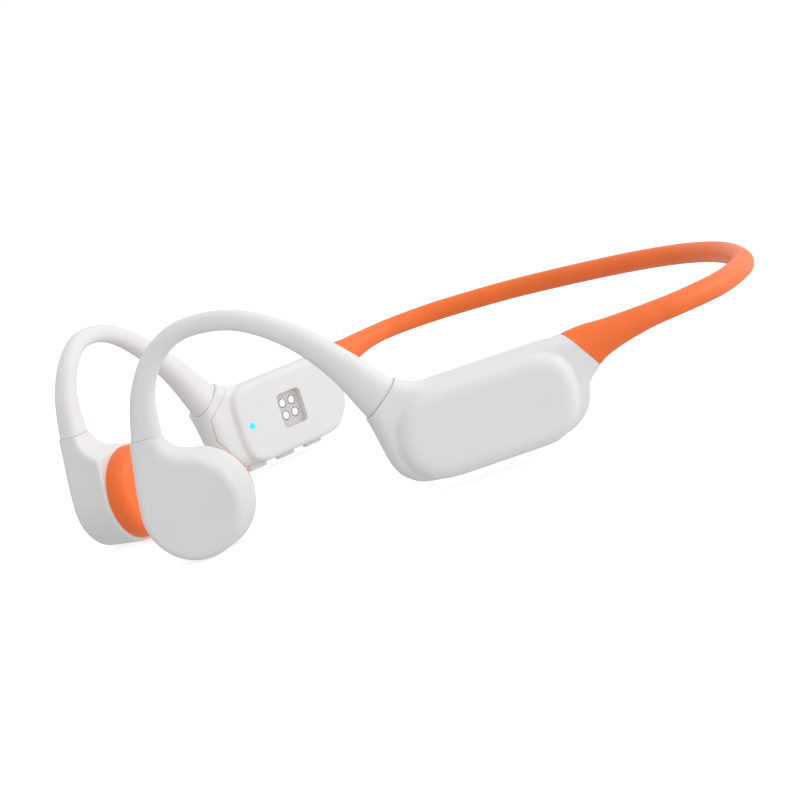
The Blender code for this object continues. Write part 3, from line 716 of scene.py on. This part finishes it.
def band_sleeve():
    """One half of the neckband's silicone sleeve."""
    samples = band_route()
    ways = tangents(samples, seam_way(BAND_TILT), Vector((0.0, -1.0, 0.0)))
    rings = [section(s, way, way.cross(UP).normalized()) for s, way in zip(samples, ways)]
    return loft("right_band_skin", with_tongues(rings, ways, last=False), "orange_silicone")


def band_core(name, radius, offset, slot):
    """One half of the wire or the lead inside the sleeve."""
    samples = band_route()[CORE_START:]
    ways = tangents(samples, seam_way(BAND_TILT), Vector((0.0, -1.0, 0.0)))
    rings = [section(s, way, way.cross(UP).normalized(), offset, radius, CORE_SIDES)
             for s, way in zip(samples, ways)]
    return loft(name, rings, slot)


def build():
    """Makes every visible piece on the right, mirrors it, and places both."""
    pairs = [
        (ear_hook(), "ear_hook"),
        (pod_cup(), "pod_cup"),
        (ear_pad(), "ear_pad"),
    ]
    outer, inner = shells()
    pairs += [(outer, "outer_shell"), (inner, "inner_shell")]
    for piece, node in pairs:
        copy = mirrored(piece, piece.name.replace("right_", "left_"))
        place(copy, "left_side", f"left_{node}")
        if node == "inner_shell":
            cut_right_features(piece)
        place(piece, "right_side", f"right_{node}")
    build_port()
    for name, centre in BUTTONS.items():
        key = pill(f"{name}_key_skin", centre, 0.0, BUTTON_BOTTOM, BUTTON_TOP, BUTTON_EDGE,
                   "white_button")
        place(key, f"{name}_key", f"button_{name}")
    build_band()


def build_port():
    """The recess's floor, its four contacts and the status light."""
    floor = slab("port_floor", rounded_outline(PORT_CENTRE, PORT_SIZE, PORT_CORNER),
                 [(0.0, TRAY_FACE), (0.0, TRAY_FACE + TRAY_THICK)])
    floor["slot"] = "port_plastic"
    for i in range(4):
        row, column = (0.5, -0.5)[i // 2], (-0.5, 0.5)[i % 2]
        along = PIN_CENTRE[0] + column * PIN_PITCH[0]
        up = PIN_CENTRE[1] + row * PIN_PITCH[1]
        boolean(floor, slab("ring", circle_outline((along, up), PIN_RADIUS + PIN_GAP),
                            [(0.0, OUTSIDE), (0.0, TRAY_FACE + 0.5)]))
        turn = HOUSING @ Matrix.Translation((along, 0.0, up))
        profile = rounded_profile(PIN_RADIUS, TRAY_FACE - 0.12, TRAY_FACE + 0.8, (0.25, 0.2),
                                  (0.1, 0.1), 5)
        pin = turned(f"contact_{i + 1}", profile, "contact_metal", turn, 40)
        place(pin, "right_side", f"charging_pin_{i + 1}")
    shade(floor)
    place(floor, "right_side", "charging_tray")
    turn = HOUSING @ Matrix.Translation((LED_AT[0], 0.0, LED_AT[1]))
    profile = rounded_profile(LED_RADIUS, -4.5, -2.4, (0.3, 0.12), (0.1, 0.1), 5)
    guide = turned("status_light", profile, "light_pipe", turn, 40)
    place(guide, "right_side", "status_light_pipe")


def build_band():
    """The neckband's two halves, each running from the middle round to its side."""
    sleeve = band_sleeve()
    wire = band_core("right_band_wire", WIRE_RADIUS, CORE_OFFSET, "spring_metal")
    lead = band_core("right_band_lead", LEAD_RADIUS, -CORE_OFFSET, "lead_jacket")
    halves = [(sleeve, "neckband_sleeve"), (wire, "neckband_wire"), (lead, "neckband_lead")]
    for piece, node in halves:
        copy = mirrored(piece, piece.name.replace("right_", "left_"))
        for part, side, sign in ((piece, "right", 1.0), (copy, "left", -1.0)):
            place(part, None, node, f"{side}_{node}")
            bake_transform(part)


def recoat_frame():
    """Gives each CAD node that still shows its own finish."""
    slots = {p["node"]: p["material_slot"] for p in frame["record"]["subparts"]}
    for name, node in frame["nodes"].items():
        node.data.materials.clear()
        node.data.materials.append(MATERIALS[slots[name]])


# ---------------------------------------------------------------- camera and light

def camera():
    """The camera, low and in front on the wearer's left, a little rolled."""
    ahead = CAMERA_AHEAD.normalized()
    right = ahead.cross(CAMERA_UP).normalized()
    up = right.cross(ahead)
    data = bpy.data.cameras.new("camera")
    data.lens = CAMERA_LENS
    data.sensor_width = 36.0
    data.clip_start = 0.01
    obj = bpy.data.objects.new("camera", data)
    obj.matrix_world = Matrix.Translation(CAMERA_AT) @ Matrix((
        (right.x, up.x, -ahead.x, 0.0),
        (right.y, up.y, -ahead.y, 0.0),
        (right.z, up.z, -ahead.z, 0.0),
        (0.0, 0.0, 0.0, 1.0)))
    bpy.context.scene.collection.objects.link(obj)
    bpy.context.scene.camera = obj


def key_lamp():
    """A soft square lamp behind the object, for the highlights along its edges."""
    data = bpy.data.lights.new("key", "AREA")
    data.size = KEY_LAMP_SIZE
    data.energy = KEY_LAMP_POWER
    obj = bpy.data.objects.new("key", data)
    obj.location = KEY_LAMP_AT
    obj.rotation_euler = (LIT_PLACE - Vector(KEY_LAMP_AT)).to_track_quat("-Z", "Y").to_euler()
    bpy.context.scene.collection.objects.link(obj)


def pale_floor():
    """A plain floor that the camera sees but that throws no light on the object."""
    mesh_data = bmesh.new()
    bmesh.ops.create_grid(mesh_data, x_segments=1, y_segments=1, size=30.0)
    mesh = bpy.data.meshes.new("floor")
    mesh_data.to_mesh(mesh)
    mesh_data.free()
    floor = bpy.data.objects.new("floor", mesh)
    bpy.context.scene.collection.objects.link(floor)
    made, tree, shader = node_material("pale_floor")
    shader.inputs["Base Color"].default_value = (0.95, 0.95, 0.95, 1.0)
    shader.inputs["Roughness"].default_value = 0.9
    shader.inputs["Emission Color"].default_value = (1.0, 1.0, 1.0, 1.0)
    shader.inputs["Emission Strength"].default_value = 0.45
    mesh.materials.append(made)
    floor.visible_diffuse = False
    floor.visible_glossy = False


def studio():
    """A sky that is brighter on one side, and plain white where the camera sees it."""
    world = bpy.data.worlds.new("studio")
    world.use_nodes = True
    nodes, links = world.node_tree.nodes, world.node_tree.links
    sky = nodes["Background"]
    sky_way = nodes.new("ShaderNodeTexCoord")
    dot = nodes.new("ShaderNodeVectorMath")
    dot.operation = "DOT_PRODUCT"
    dot.inputs[1].default_value = BRIGHT_WAY.normalized()
    spread = nodes.new("ShaderNodeMapRange")
    spread.inputs["From Min"].default_value = -1.0
    spread.inputs["To Min"].default_value = SKY_DARK
    spread.inputs["To Max"].default_value = SKY_BRIGHT
    links.new(sky_way.outputs["Generated"], dot.inputs[0])
    links.new(dot.outputs["Value"], spread.inputs["Value"])
    links.new(spread.outputs["Result"], sky.inputs["Strength"])
    seen = nodes.new("ShaderNodeBackground")
    path = nodes.new("ShaderNodeLightPath")
    pick = nodes.new("ShaderNodeMixShader")
    sky.inputs["Color"].default_value = (1.0, 1.0, 1.0, 1.0)
    seen.inputs["Color"].default_value = (1.0, 1.0, 1.0, 1.0)
    links.new(path.outputs["Is Camera Ray"], pick.inputs["Fac"])
    links.new(sky.outputs["Background"], pick.inputs[1])
    links.new(seen.outputs["Background"], pick.inputs[2])
    links.new(pick.outputs["Shader"], nodes["World Output"].inputs["Surface"])
    bpy.context.scene.world = world
    bpy.context.scene.view_settings.view_transform = "Standard"


build()
recoat_frame()
camera()
pale_floor()
studio()
key_lamp()
